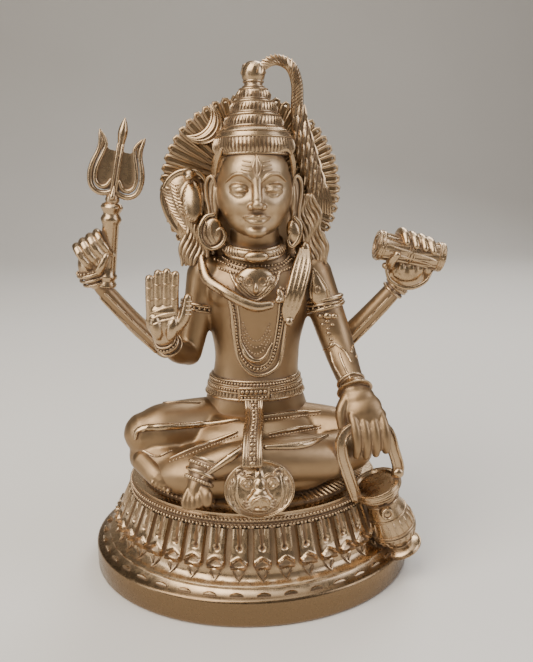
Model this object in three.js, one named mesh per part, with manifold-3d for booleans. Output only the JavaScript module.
// A small cast brass figure of a seated, four-armed deity on an oval lotus pedestal.
// Millimetres, +Z up. The origin is the middle of the pedestal's underside and the figure faces -Y.
// Trident, drum, water pot, fan of hair, serpent and pedestal are all poured as one casting.
import * as THREE from "three";
import { mergeVertices } from "three/addons/utils/BufferGeometryUtils.js";
import Module from "manifold-3d";

const wasm = await Module();
wasm.setup();

// Driving dimensions
const pedestalWidth = 131.6; // across the bottom rim, along X
const pedestalDepth = 110.6; // across the bottom rim, along Y
const pedestalHeight = 38; // underside to the seat
const rimHeight = 10.8; // plain band round the bottom
const rimEdge = 0.9; // small bevel under the band
const ledgeWidth = 6.6; // sloping ledge between the band and the hollow moulding
const ledgeRise = 2.6;
const coveWidth = 2.3; // hollow moulding under the petals
const coveRise = 4.6;
const cordWidth = 2.5; // each of the two rounded cords under the seat
const seatEdge = 1; // plain edge above the cords
const cordInset = 15.6; // from the rim to the cords
const petalCount = 40;
const petalProud = 1.3; // how far a petal stands out of the wall at its root
const petalFlare = 0.7; // how much further its foot turns out
const petalShare = 0.74; // petal width as a share of its pitch
const petalTip = 2.2; // length of a petal's pointed end
const figureHeight = 162.8; // seat to the top of the falling water

// The figure's pose and carving are drawn in parts of its own height. One part is about 1 mm, and
// a height of 0 is the seat.
const figureParts = 162.8;
const brassColor = 0xc9a15e;

const TAU = Math.PI * 2;
const vec = (x, y, z) => new THREE.Vector3(x, y, z);
const point = (p) => vec(p[0], p[1], p[2]);

// A closed geometry as a solid: shared corners are merged and collapsed triangles dropped.
function solid(geometry) {
  geometry.deleteAttribute("normal");
  geometry.deleteAttribute("uv");
  const merged = mergeVertices(geometry, 1e-4);
  const corners = merged.index.array;
  const kept = [];
  for (let i = 0; i < corners.length; i += 3) {
    const [a, b, c] = [corners[i], corners[i + 1], corners[i + 2]];
    if (a !== b && b !== c && c !== a) kept.push(a, b, c);
  }
  const vertProperties = Float32Array.from(merged.attributes.position.array);
  return new wasm.Manifold(new wasm.Mesh({ numProp: 3, vertProperties, triVerts: Uint32Array.from(kept) }));
}

// All the solids as one, joined in pairs so that no join is much larger than its neighbours.
function joined(solids) {
  let row = solids.flat(Infinity);
  while (row.length > 1) {
    const next = [];
    for (let i = 0; i < row.length; i += 2) next.push(i + 1 < row.length ? row[i].add(row[i + 1]) : row[i]);
    row = next;
  }
  return row[0];
}

// A skin over rings that all have the same number of points, closed by a flat fan at each end,
// or joined end to end into a loop.
function skin(rings, loop = false) {
  const sides = rings[0].length;
  const faces = [];
  const last = loop ? rings.length : rings.length - 1;
  for (let i = 0; i < last; i++) {
    const next = (i + 1) % rings.length;
    for (let j = 0; j < sides; j++) {
      const k = (j + 1) % sides;
      faces.push(i * sides + j, i * sides + k, next * sides + k);
      faces.push(i * sides + j, next * sides + k, next * sides + j);
    }
  }
  if (!loop) {
    const end = (rings.length - 1) * sides;
    for (let j = 1; j < sides - 1; j++) {
      faces.push(0, j + 1, j);
      faces.push(end, end + j, end + j + 1);
    }
  }
  const corners = rings.flat().flatMap((p) => [p.x, p.y, p.z]);
  const geometry = new THREE.BufferGeometry();
  geometry.setAttribute("position", new THREE.Float32BufferAttribute(corners, 3));
  geometry.setIndex(faces);
  return solid(geometry);
}

// An oval ring of points about a centre, in the plane of two directions.
function oval(centre, across, along, halfAcross, halfAlong, sides) {
  const ring = [];
  for (let j = 0; j < sides; j++) {
    const a = ((j + 0.5) / sides) * TAU;
    const spot = centre.clone().addScaledVector(across, halfAcross * Math.cos(a));
    ring.push(spot.addScaledVector(along, halfAlong * Math.sin(a)));
  }
  return ring;
}

// A limb along a smooth line through stations [x, y, z, half width, half depth]. The width lies
// square to the facing direction. A rounded end gets one smaller ring beyond it, and a band
// [place, half length, rise] is a raised ring round the limb.
function limb(stations, options = {}) {
  const { sides = 8, steps = 4, facing = [0, -1, 0], loop = false, round = [0, 0.5], bands = [] } = options;
  const line = new THREE.CatmullRomCurve3(stations.map(point), loop, "centripetal");
  const extents = stations.map((s) => vec(s[3], s[4] ?? s[3], 0));
  const sizes = new THREE.CatmullRomCurve3(extents, loop, "centripetal");
  const front = point(facing);
  const places = [];
  for (let i = 0; i < (loop ? steps : steps + 1); i++) {
    if (!bands.some(([t, half]) => Math.abs(i / steps - t) < half)) places.push([i / steps, 0]);
  }
  for (const [t, half, rise] of bands) {
    places.push([t - half, 0], [t - half * 0.6, rise], [t + half * 0.6, rise], [t + half, 0]);
  }
  places.sort((a, b) => a[0] - b[0]);
  const rings = places.map(([t, rise]) => {
    const along = line.getTangent(t);
    const across = along.clone().cross(front).normalize();
    const depth = across.clone().cross(along).negate().normalize();
    const size = sizes.getPoint(t);
    return { centre: line.getPoint(t), along, across, depth, width: size.x + rise, height: size.y + rise };
  });
  const ringOf = (r, share, shift) => {
    const centre = r.centre.clone().addScaledVector(r.along, shift);
    return oval(centre, r.across, r.depth, r.width * share, r.height * share, sides);
  };
  const skins = rings.map((r) => ringOf(r, 1, 0));
  const [first, end] = [rings[0], rings[rings.length - 1]];
  const reach = (r, share) => share * Math.min(r.width, r.height);
  if (!loop && round[0] > 0) skins.unshift(ringOf(first, 0.6, -reach(first, round[0])));
  if (!loop && round[1] > 0) skins.push(ringOf(end, 0.6, reach(end, round[1])));
  return skin(skins, loop);
}

// A body of level oval sections [z, centre x, centre y, half width, half depth].
function levels(sections, sides) {
  const [east, north] = [vec(1, 0, 0), vec(0, 1, 0)];
  return skin(sections.map(([z, x, y, w, d]) => oval(vec(x, y, z), east, north, w, d, sides)));
}

// A shape made about +Z, turned to a direction and moved into place.
function placed(geometry, at, direction) {
  const turn = new THREE.Quaternion().setFromUnitVectors(vec(0, 0, 1), point(direction).normalize());
  return solid(geometry.applyMatrix4(new THREE.Matrix4().compose(point(at), turn, vec(1, 1, 1))));
}

function ball(at, radii, { around = 8, high = 5, direction = [0, 0, 1] } = {}) {
  const geometry = new THREE.SphereGeometry(1, around, high).rotateX(Math.PI / 2);
  return placed(geometry.scale(...radii), at, direction);
}

// A turned shape: profile points [radius, height] about an axis.
function turning(profile, at, direction, segments) {
  const outline = profile.map(([r, z]) => new THREE.Vector2(r, z));
  return placed(new THREE.LatheGeometry(outline, segments).rotateX(Math.PI / 2), at, direction);
}

function bangle(at, direction, radius, thickness, { squash = 1, around = 10, sides = 4 } = {}) {
  return placed(new THREE.TorusGeometry(radius, thickness, sides, around).scale(1, squash, 1), at, direction);
}

// A flat plate cut to an outline [x, z] and set upright, from y backwards.
function plate(outline, y, thickness) {
  const shape = new THREE.Shape(outline.map(([x, z]) => new THREE.Vector2(x, z)));
  const geometry = new THREE.ExtrudeGeometry(shape, { depth: thickness, bevelEnabled: false });
  return solid(geometry.rotateX(Math.PI / 2).translate(0, y + thickness, 0));
}

// Pedestal: an oval turning with a ring of long petals hanging from a corded collar.
function pedestal() {
  const rim = pedestalWidth / 2;
  const ratio = pedestalDepth / pedestalWidth;
  const step = TAU / petalCount;
  const ledge = { r: rim - ledgeWidth, z: rimHeight + ledgeRise };
  const foot = { r: ledge.r - coveWidth, z: ledge.z + coveRise };
  const cord = rim - cordInset;
  const top = { r: cord, z: pedestalHeight - seatEdge - 2 * cordWidth };
  const profile = [
    [0, 0],
    [rim - rimEdge, 0],
    [rim, rimEdge],
    [rim, rimHeight],
    [ledge.r, ledge.z],
    [foot.r, foot.z],
    [top.r, top.z],
    [cord + 0.9, top.z + 0.5 * cordWidth],
    [cord - 0.3, top.z + cordWidth],
    [cord + 0.9, top.z + 1.5 * cordWidth],
    [cord - 0.4, top.z + 2 * cordWidth],
    [cord - 0.4, pedestalHeight],
    [0, pedestalHeight],
  ];
  const outline = profile.map(([r, z]) => new THREE.Vector2(r, z));
  const body = new THREE.LatheGeometry(outline, petalCount, -step / 2).rotateX(Math.PI / 2);
  const spot = (r, z, angle) => vec(r * Math.sin(angle), -ratio * r * Math.cos(angle), z);
  const petals = [];
  for (let i = 0; i < petalCount; i++) {
    const angle = i * step;
    const halfPitch = (r) => spot(r, 0, angle + step / 2).distanceTo(spot(r, 0, angle - step / 2)) / 2;
    const [halfTop, halfFoot] = [halfPitch(top.r) * petalShare, halfPitch(foot.r) * petalShare];
    const down = spot(foot.r + petalFlare, foot.z, angle).sub(spot(top.r, top.z, angle));
    const length = down.length();
    down.normalize();
    const left = spot(1, 0, angle - 0.01).sub(spot(1, 0, angle + 0.01)).normalize();
    const outward = left.clone().cross(down).normalize();
    const shape = new THREE.Shape([
      new THREE.Vector2(-halfTop, 0.4),
      new THREE.Vector2(-halfFoot, length - petalTip),
      new THREE.Vector2(0, length - 0.3),
      new THREE.Vector2(halfFoot, length - petalTip),
      new THREE.Vector2(halfTop, 0.4),
    ]);
    const petal = new THREE.ExtrudeGeometry(shape, { depth: 2 * petalProud, bevelEnabled: false });
    const frame = new THREE.Matrix4().makeBasis(left, down, outward);
    frame.setPosition(spot(top.r, top.z, angle).addScaledVector(outward, -petalProud));
    petals.push(solid(petal.applyMatrix4(frame)));
  }
  return [solid(body.scale(1, ratio, 1)), petals];
}

// Folded legs: both knees out to the sides, the left shin crossing in front of the right.
function legs() {
  const up = [0, 0, 1];
  const lap = levels([[-1, 0, -8, 36, 20], [12, 0, -9, 36, 21], [22, 1, -8, 30, 20], [28, 1, -5, 20, 17]], 8);
  const rightThigh = limb(
    [
      [-10, 0, 19.5, 12, 11.5], [-22, -4, 20, 12.5, 11], [-32, -8.5, 20.8, 12.2, 11],
      [-41, -12.4, 21.6, 10.8, 10.4], [-46.4, -14.6, 21.2, 7.8, 8.2],
    ],
    { sides: 10, steps: 4, facing: up, round: [0, 0.7] },
  );
  const rightShin = limb(
    [[-44, -15, 13, 8, 7.5], [-26, -25, 9.5, 8, 7.5], [0, -27, 8, 7, 7]],
    { sides: 7, steps: 2, facing: up, round: [0.5, 0] },
  );
  const leftThigh = limb(
    [[10, 0, 17, 12, 11], [22, -5, 17.5, 12, 10.8], [34, -12, 18, 10.6, 10.2], [42, -16, 17.4, 7.6, 8.4]],
    { sides: 10, steps: 3, facing: up, round: [0, 0.7] },
  );
  const leftShin = limb(
    [
      [40, -17, 13.5, 8, 9], [26, -27, 15, 8.5, 9.5], [8, -33, 17.5, 7.6, 9], [-9, -36, 19, 6, 7.5],
      [-21, -37, 16.5, 5.2, 5.4],
    ],
    { sides: 8, steps: 5, facing: up, round: [0.5, 0] },
  );
  const foot = limb(
    [
      [-21.4, -37.6, 17, 5, 4.8], [-24.8, -40.4, 13.6, 4.8, 4.2], [-24.8, -42.6, 10, 4.8, 3.6],
      [-23.6, -44.4, 7.4, 5.4, 2.4],
    ],
    { sides: 6, steps: 3, facing: [0, -1, 0.3] },
  );
  const nearFoot = limb(
    [[-44, -21, 13.4, 4.4, 3.6], [-39, -27.4, 10.6, 4, 3.4], [-35, -30, 8, 3.6, 3]],
    { sides: 6, steps: 2 },
  );
  const hem = limb(
    [[-3, -40.6, 27, 1, 2], [-12, -42, 22.5, 1, 2.2], [-20, -42, 17, 1, 1.6]],
    { sides: 4, steps: 2 },
  );
  return [lap, rightThigh, rightShin, leftThigh, leftShin, foot, nearFoot, hem];
}

// Trunk with its belt, the neck, and the end of cloth that hangs from the buckle.
function trunk() {
  const body = levels(
    [
      [22, 1, 0, 24, 15.5],
      [33.6, 1.1, 0, 19.6, 14.4],
      [34.2, 1.1, 0, 20.4, 15.2],
      [40.4, 1, 0, 18.2, 14],
      [41.4, 1.2, 0, 16.8, 12.2],
      [47, 1.7, 0, 16.8, 11.6],
      [60, 1.8, 0, 18.8, 13],
      [74, 2, -1.5, 22.6, 15],
      [81, 2.4, -1.5, 23.5, 13],
      [86, 2.2, -1, 18, 10.5],
      [91, 1.1, -1.5, 10.5, 9],
      [100, 0.6, -4, 9.5, 9],
    ],
    12,
  );
  const buckle = limb(
    [[-6, -14.4, 37.2, 3.2, 2.2], [4.6, -14.4, 37.2, 3.2, 2.2]],
    { sides: 4, steps: 1, round: [0, 0] },
  );
  const sash = limb(
    [
      [-0.7, -13.6, 35.4, 4.4, 2.4], [-0.8, -17.6, 30.4, 4.4, 2.4], [-1.2, -26, 28.6, 4.4, 2.6],
      [-2.3, -36.4, 27.8, 4.8, 2.6],
      [-3.2, -42.8, 24.4, 5, 2.4], [-3.5, -44.2, 20.6, 5, 2.2],
    ],
    { sides: 4, steps: 7, facing: [0, -1, 0.6], round: [0, 0] },
  );
  return [body, buckle, sash];
}

// What hangs on the chest: collar, string of beads, pendant, serpent and a long garland.
function ornaments() {
  const collar = bangle([0.5, -3.6, 93.6], [0, -0.26, 1], 10.4, 2.7, { squash: 0.95, around: 12 });
  const beads = limb(
    [
      [-16, -5, 90.6, 1.4], [-9.5, -14.5, 87.2, 1.4], [0.6, -18, 85.4, 1.4], [11.5, -14.5, 87.2, 1.4],
      [18, -5, 90.6, 1.4],
    ],
    { sides: 4, steps: 6, facing: [0, 0, 1], round: [0, 0] },
  );
  const pendant = plate([[-7.2, 84.4], [8.2, 84.4], [0.2, 74.2]], -18, 4);
  const serpent = limb(
    [
      [-19.6, -4, 89, 2.3], [-18, -9, 82, 2.4], [-12.3, -14, 78.6, 2.4], [-5.8, -17, 74.3, 2.5],
      [0.1, -18.2, 72, 2.5], [5.5, -17.6, 72.6, 2.5], [10.5, -16, 75.6, 2.4], [15.8, -12.6, 84, 2.4],
      [20, -6, 92, 2.2], [14, 6, 95, 2], [0, 8, 97, 2], [-13, 6, 96, 2.1],
    ],
    { sides: 4, steps: 16, facing: [0, 0, 1], loop: true },
  );
  const garland = limb(
    [
      [-8.7, -13.2, 69.8, 1.5, 1.8], [-8.4, -12.2, 63.7, 1.6, 2], [-6.9, -11.6, 53.9, 1.7, 2],
      [-4.7, -12, 47.5, 1.8, 2], [-0.1, -12.6, 43.9, 1.9, 2], [5.8, -12.2, 44.6, 1.8, 2],
      [10, -11, 48.8, 1.7, 2], [11.7, -11.6, 60.9, 1.6, 2], [12.1, -13, 68.2, 1.5, 1.8],
    ],
    { sides: 4, steps: 8, round: [0, 0] },
  );
  const innerStrand = limb(
    [
      [-5.6, -12, 57.6, 0.8, 1.6], [-3.1, -12.4, 52, 1.7, 1.8], [0, -12.6, 49.8, 1.9, 1.8],
      [3.5, -12.4, 51, 1.7, 1.8], [6.8, -12, 56.6, 0.8, 1.6],
    ],
    { sides: 4, steps: 4, round: [0, 0] },
  );
  return [collar, beads, pendant, serpent, garland, innerStrand];
}

// Head with a calm, plain face and long ears with round pendants.
function head() {
  const skull = ball([0.5, -6.5, 114.5], [14.2, 15, 17.5], { around: 12, high: 7 });
  const jaw = ball([0.5, -10.5, 104.8], [10, 9.4, 7.6], { around: 8, high: 4 });
  const nose = limb([[0.5, -20.6, 118, 1.2, 1], [0.5, -23.4, 109.4, 2.3, 1.8]], { sides: 5, steps: 1 });
  const lips = ball([0.5, -19.8, 104.6], [3.8, 1.7, 1.3], { around: 6, high: 3 });
  const face = [nose, lips];
  for (const side of [-1, 1]) {
    const x = (shift) => 0.5 + side * shift;
    face.push(ball([x(5.8), -19.4, 114.6], [3.6, 1.8, 1.3], { around: 5, high: 3 }));
    face.push(ball([x(15), -5, 112], [2.8, 3, 8], { around: 6, high: 4 }));
    face.push(ball([x(15.4), -6.5, 100], [4.6, 2.4, 5.8], { around: 7, high: 4 }));
  }
  return [skull, jaw, face];
}

// Tall bound hair in stepped tiers with a knob, and the loose locks behind the ears.
function hair() {
  const tiers = [
    [0, 0], [14.2, 1.6], [14.6, 3.6], [12.8, 9.2], [10.4, 9.8], [9.8, 14.2], [8.2, 14.8], [7.6, 19],
    [5.8, 19.6], [5.2, 23.4], [3.6, 24.2], [3.4, 26.4], [4.3, 28.6], [3.8, 32], [0, 33.6],
  ];
  const tower = turning(tiers, [0.6, -4, 127], [0, 0.06, 1], 12);
  const nape = levels([[84, 1, 5, 19, 5], [104, 0.6, 5, 16, 6], [124, 0.5, 3, 12, 6]], 8);
  const locks = [-1, 1].map((side) => limb(
    [[0.5 + side * 15, -1, 110, 2.4], [0.5 + side * 19, -3, 100, 2.8], [0.5 + side * 21, -4.5, 90, 2]],
    { sides: 5, steps: 2 },
  ));
  return [tower, nape, locks];
}

// The fan of loose hair behind the head, a pleated disc with a lock on every ridge.
function hairFan() {
  const locks = 32;
  const ring = (ridge, valley, y, pleat) => {
    const points = [];
    for (let i = 0; i < 2 * locks; i++) {
      const a = (i / (2 * locks)) * TAU;
      const onRidge = i % 2 === 0;
      const r = onRidge ? ridge : valley;
      points.push(vec(r * Math.sin(a), y + (onRidge ? -pleat : pleat), 114.5 + r * Math.cos(a)));
    }
    return points;
  };
  return skin([ring(14, 14, 4.2, 0), ring(35.4, 33.8, 4.6, 0.8), ring(35, 33.2, 8, 0)]);
}

// A crescent [x, z]: the outer circle less a second one set off towards where the horns point.
function crescent([x, z], outer, inner, offset, opening) {
  const outerHalf = Math.acos((outer ** 2 + offset ** 2 - inner ** 2) / (2 * outer * offset));
  const innerHalf = Math.acos((outer ** 2 - inner ** 2 - offset ** 2) / (2 * inner * offset));
  const [innerX, innerZ] = [x + offset * Math.cos(opening), z + offset * Math.sin(opening)];
  const outline = [];
  for (let i = 0; i <= 8; i++) {
    const a = opening + outerHalf + (i / 8) * (TAU - 2 * outerHalf);
    outline.push([x + outer * Math.cos(a), z + outer * Math.sin(a)]);
  }
  for (let i = 5; i > 0; i--) {
    const a = opening + innerHalf + (i / 6) * (TAU - 2 * innerHalf);
    outline.push([innerX + inner * Math.cos(a), innerZ + inner * Math.sin(a)]);
  }
  return outline;
}

// Crescent on the hair, the falling water on the other side and the rearing serpent's hood.
function emblems() {
  const moon = plate(crescent([-18.3, 138.6], 7.4, 8.4, 6.25, 2.47), 0, 6);
  const water = limb(
    [
      [3.6, 1, 158.5, 1.7, 1.7], [7.6, 1.5, 161, 1.8, 1.8], [11.4, 1.5, 161, 1.9, 1.9],
      [15.2, 1.3, 158.5, 2.1, 1.9],
      [17.6, 1, 152.5, 2.4, 1.9], [18.3, 0.8, 144, 3, 2.2], [20, 0.6, 136, 4.4, 2.6], [23, 0.4, 124, 5, 2.8],
      [26.4, 0.6, 110.5, 5.8, 2.2],
    ],
    { sides: 5, steps: 12, round: [0, 0.8] },
  );
  const hoodOutline = [
    [-18.5, 92.5], [-28, 98.5], [-33, 106], [-34, 113], [-30.5, 119.5], [-25, 121.5], [-19.5, 120.5],
    [-16, 115], [-15, 107], [-15.6, 99],
  ];
  const hood = [
    plate(hoodOutline, -4.5, 9.5),
    ball([-22.5, -4.5, 108], [5.4, 3, 11], { around: 7, high: 4, direction: [-0.25, 0, 1] }),
    ball([-26, -5.5, 118.5], [3.4, 4, 2.8], { around: 6, high: 4 }),
  ];
  return [moon, water, hood];
}

// A fist round a shaft: four finger rolls, one above the other, on a body that is deeper behind.
function fist(at, direction, width, depth) {
  const along = point(direction).normalize();
  const rolls = 4;
  const pitch = 3;
  const stations = [];
  for (let i = 0; i <= 2 * rolls; i++) {
    const centre = point(at).addScaledVector(along, (i - rolls) * pitch * 0.5);
    const grow = i % 2 === 0 ? -0.6 : 0.5;
    stations.push([centre.x, centre.y, centre.z, width + grow, depth + grow]);
  }
  return limb(stations, { sides: 6, steps: 2 * rolls, facing: [0, -1, 0], round: [0, 0] });
}

// Raised right hand, palm to the front, on a forearm that comes forward from the elbow.
function raisedArm() {
  const upper = limb(
    [[-18.5, -1, 82, 7.4, 7], [-21.5, -2, 68, 5.8, 5.8], [-25.5, -3.5, 51, 5, 5]],
    { sides: 8, steps: 2, round: [0.6, 0.6], bands: [[0.4, 0.06, 1.1]] },
  );
  const fore = limb(
    [[-25.5, -3.5, 51, 4.8], [-30, -13, 54.5, 4.3], [-33.8, -21.5, 62, 3.6]],
    { sides: 7, steps: 2, facing: [1, 0, 0], round: [0.5, 0], bands: [[0.86, 0.07, 1]] },
  );
  const palm = limb(
    [[-34, -22.5, 62, 4.4, 3], [-34, -24, 69, 6.6, 3.2], [-34, -24, 76, 6.4, 2.4]],
    { sides: 7, steps: 2, round: [0, 0] },
  );
  const tops = [84, 87, 87.8, 86];
  const digits = tops.map((top, i) => {
    const x = -38.8 + i * 3.2;
    return limb(
      [[x, -24, 74.5, 1.6, 1.8], [x + (i - 1.5) * 0.2, -24.6, top, 1.4, 1.5]],
      { sides: 4, steps: 1 },
    );
  });
  const thumb = limb(
    [[-30.5, -23.5, 66, 2.4, 2.4], [-26.4, -24.8, 72, 2, 2], [-25, -25.6, 78, 1.6, 1.6]],
    { sides: 5, steps: 2 },
  );
  return [upper, fore, palm, digits, thumb];
}

// Three prongs on a thin web, cut from one plate: s is sideways and w up its own leaning axis.
function tridentHead(at, lean, thickness, recess) {
  const [cosine, sine] = [Math.cos(lean), Math.sin(lean)];
  const place = ([s, w]) => [at[0] + s * cosine + w * sine, at[2] - s * sine + w * cosine];
  const front = at[1] - thickness / 2;
  const halfOutline = [
    [1.6, -2.6], [5.5, -2.6], [9.2, 0.4], [9.9, 4.6], [9.1, 9.4], [7.8, 13.6], [7.8, 16.2], [8.2, 19.6],
    [5.4, 15], [1.4, 15], [1.9, 20.4], [0.7, 25],
  ];
  const halfPanel = [
    [1.5, 2], [5, 0.2], [7.2, 1.6], [7.7, 4.8], [7, 9.2], [5.7, 13.4], [5.2, 15.6], [1.5, 15.6],
  ];
  const mirrored = (points) => points.map(([s, w]) => [-s, w]).reverse();
  const body = plate([...halfOutline, ...mirrored(halfOutline)].map(place), front, thickness);
  const panels = [halfPanel, mirrored(halfPanel)];
  return body.subtract(joined(panels.map((panel) => plate(panel.map(place), front - recess, 2 * recess))));
}

// Rear right arm and the trident that its fist holds.
function tridentArm() {
  const upper = limb(
    [[-16, 3, 80, 6, 6], [-25, 3, 66, 4.6, 4.6], [-35, 2, 52, 4, 4]],
    { sides: 7, steps: 2, round: [0, 0.6] },
  );
  const fore = limb(
    [[-35, 2, 51.5, 4], [-46, -0.5, 62.5, 3.6], [-58.6, -4, 79, 3.2]],
    { sides: 7, steps: 2, round: [0.5, 0], bands: [[0.9, 0.045, 1.2]] },
  );
  const shaftAt = [-55.9, -6, 78.5];
  const lean = [0.118, 0, 1];
  const shaft = turning(
    [
      [0, 0], [3.6, 0], [3.7, 1.4], [3, 2.6], [3.7, 4.2], [3.1, 5.6], [3, 24.3], [4, 25.7], [3, 27.3],
      [4.1, 30.1], [2, 32.9], [1.6, 36], [0, 36],
    ],
    shaftAt, lean, 7,
  );
  const palm = limb(
    [[-58.8, -3.8, 78.6, 3.6, 3.4], [-60.8, -4.4, 84, 5, 4.2], [-61.4, -5, 90, 5.4, 4.2]],
    { sides: 7, steps: 2, round: [0.4, 0.4] },
  );
  const hand = fist([-59.6, -6.4, 92.6], [0.83, 0, 0.55], 5.2, 5.2);
  const thumb = limb(
    [[-60, -7.6, 83, 1.9], [-57, -10, 86.6, 1.7], [-55, -10, 90.4, 1.4]],
    { sides: 4, steps: 2 },
  );
  return [upper, fore, palm, hand, shaft, thumb, tridentHead([-51.1, -6, 115.5], 0.204, 3, 0.8)];
}

// Rear left arm and the hourglass drum across its palm.
function drumArm() {
  const upper = limb(
    [[21, 3, 80, 6, 6], [28, 4, 65, 4.6, 4.6], [35, 3, 51, 4.2, 4.2]],
    { sides: 7, steps: 2, round: [0, 0.6] },
  );
  const fore = limb(
    [[35, 3, 50.5, 4.2], [46, 0.5, 62.5, 3.8], [59.2, -3.6, 79, 3.3]],
    { sides: 7, steps: 2, round: [0.5, 0], bands: [[0.9, 0.045, 1.2]] },
  );
  const palm = ball([60.4, -5.4, 83], [8.4, 4.6, 6.6], { around: 8, high: 5 });
  const along = [26.2, 0, -5.4];
  const drum = turning(
    [[0, 0], [5.6, 0], [5.6, 1.8], [5, 2.8], [4.7, 13.4], [5, 24], [5.6, 25], [5.6, 26.7], [0, 26.7]],
    [47.5, -8, 93.7], along, 9,
  );
  // fingertips come over the drum from behind: sideways place and height of each
  const tips = [[57.4, 98.4], [61.2, 97], [64.8, 96], [68, 94.8]];
  const digits = tips.map(([x, top]) => limb(
    [
      [x - 0.4, -3, top - 9, 2, 2], [x, -5, top - 0.6, 1.8, 1.8], [x + 0.3, -10, top - 0.4, 1.6, 1.6],
      [x + 0.6, -13, top - 3.6, 1.3, 1.3],
    ],
    { sides: 5, steps: 3 },
  ));
  const thumb = limb(
    [[54.6, -6, 84, 2], [52.6, -10, 86.6, 1.8], [54.4, -13, 90.4, 1.5]],
    { sides: 4, steps: 2 },
  );
  return [upper, fore, palm, drum, digits, thumb];
}

// Lowered left arm, its hand over the knee with the water pot's handle under the fingers.
function loweredArm() {
  const upper = limb(
    [
      [23.5, -2, 82, 8, 7.6], [28.5, -3.5, 69, 7, 7], [32.5, -5.5, 57.5, 6.6, 6.6], [35, -12, 48.5, 6, 6],
      [37.2, -22.8, 40.4, 4.8, 4.4],
    ],
    { sides: 8, steps: 5, round: [0.6, 0], bands: [[0.3, 0.05, 1.5], [0.95, 0.04, 1.4]] },
  );
  const hand = limb(
    [[37.2, -22.8, 40.4, 5, 3.8], [39.4, -27.5, 35.4, 7.6, 4.2], [41.5, -31, 29, 7.8, 3.6]],
    { sides: 6, steps: 2, facing: [0, -1, 0.3] },
  );
  const drops = [20.8, 20.6, 21.8, 22.6];
  const fingers = drops.map((drop, i) => {
    const x = 35.8 + i * 3.75;
    return limb(
      [[x, -31.4, 29.6, 2.1], [x + 0.6, -33.2, 25, 2.1], [x + 0.8, -32, drop, 1.8]],
      { sides: 4, steps: 2 },
    );
  });
  const thumb = limb(
    [[34.2, -24.5, 38, 2.6], [31, -27.5, 33.4, 2.3], [31.4, -29.5, 27.5, 1.7]],
    { sides: 5, steps: 2, facing: [1, 0, 0] },
  );
  return [upper, hand, fingers, thumb];
}

// Water pot against the pedestal, hung from the hand by a tall strap handle.
function waterPot() {
  const pot = turning(
    [
      [0, 0], [8.2, 0], [8, 1.8], [4.8, 3.6], [7.8, 7], [9, 11.5], [8.6, 16.5], [7.2, 21.5], [6.4, 25],
      [8.2, 28.5], [9.7, 31], [9.5, 32.6], [0, 32.6],
    ],
    [57.9, -25.5, -26], [-12.6, -3, 30.2], 10,
  );
  const handle = limb(
    [
      [37.4, -29.6, -0.8, 2.4, 1.3], [33.2, -31, 10.9, 2.4, 1.2], [30.4, -31.4, 20, 2.4, 1.2],
      [31.8, -30.8, 26.5, 2.2, 1.3], [40, -29.8, 29.5, 2, 1.4],
      [48.3, -30, 26.8, 2.2, 1.3], [51.6, -30.4, 17.9, 2.4, 1.2], [53.7, -30, 11.2, 2.4, 1.3],
      [53.2, -29.4, 7, 2.4, 1.3],
    ],
    { sides: 4, steps: 10, round: [0, 0] },
  );
  const spout = ball([48.4, -35.2, -4.8], [2.6, 3, 2.6], { around: 6, high: 3 });
  return [pot, handle, spout];
}

// Tiger skin over the seat, its head laid over the pedestal's front edge.
function tigerSkin() {
  const edge = 20;
  const outline = [];
  for (let i = 0; i < edge; i++) {
    const a = (i / edge) * TAU;
    outline.push(new THREE.Vector2(45 * Math.sin(a), -37 * Math.cos(a)));
  }
  const hide = new THREE.ExtrudeGeometry(new THREE.Shape(outline), { depth: 2.2, bevelEnabled: false });
  const middle = vec(-0.8, -43, 10.8);
  const [across, along, out] = [vec(1, 0, 0), vec(0, 0.24, 0.97), vec(0, -0.97, 0.24)];
  const mask = [[-6, 10.4, 8.6], [0.6, 12.8, 10.6], [1.5, 11.2, 9.2], [0.3, 10.4, 8.4]];
  const face = [
    skin(mask.map(([rise, w, h]) => oval(
      middle.clone().addScaledVector(out, rise), across, along, w, h, 14,
    ))),
    ball([-0.8, -43.4, 9.8], [8.4, 7, 3.4], { around: 8, high: 4, direction: [0, -0.97, 0.24] }),
    ball([-0.8, -46.4, 7.6], [3.2, 2.4, 2.4], { around: 6, high: 3 }),
  ];
  for (const side of [-1, 1]) {
    face.push(ball([-0.8 + side * 4.4, -44.6, 12.8], [1.8, 1.6, 1.5], { around: 5, high: 3 }));
    face.push(ball([-0.8 + side * 7.6, -42.6, 16.4], [2.2, 1.8, 1.9], { around: 5, high: 3 }));
  }
  return [solid(hide.translate(0, 0, -0.8)), face];
}

// The casting's mesh, with the figure set on the seat at its own height.
function casting() {
  const parts = [
    legs(), trunk(), ornaments(), head(), hair(), hairFan(), emblems(),
    raisedArm(), tridentArm(), drumArm(), loweredArm(), waterPot(), tigerSkin(),
  ];
  const scale = figureHeight / figureParts;
  const figure = joined(parts).scale([scale, scale, scale]).translate([0, 0, pedestalHeight]);
  const mesh = joined([pedestal(), figure]).getMesh();
  const geometry = new THREE.BufferGeometry();
  geometry.setAttribute("position", new THREE.BufferAttribute(mesh.vertProperties, 3));
  geometry.setIndex(new THREE.BufferAttribute(mesh.triVerts, 1));
  geometry.computeVertexNormals();
  return geometry;
}

const brass = new THREE.MeshStandardMaterial({ color: brassColor, roughness: 0.28, metalness: 1 });
const figureMesh = new THREE.Mesh(casting(), brass);
figureMesh.name = "shiva_figure";
const group = new THREE.Group();
group.add(figureMesh);

export default group;
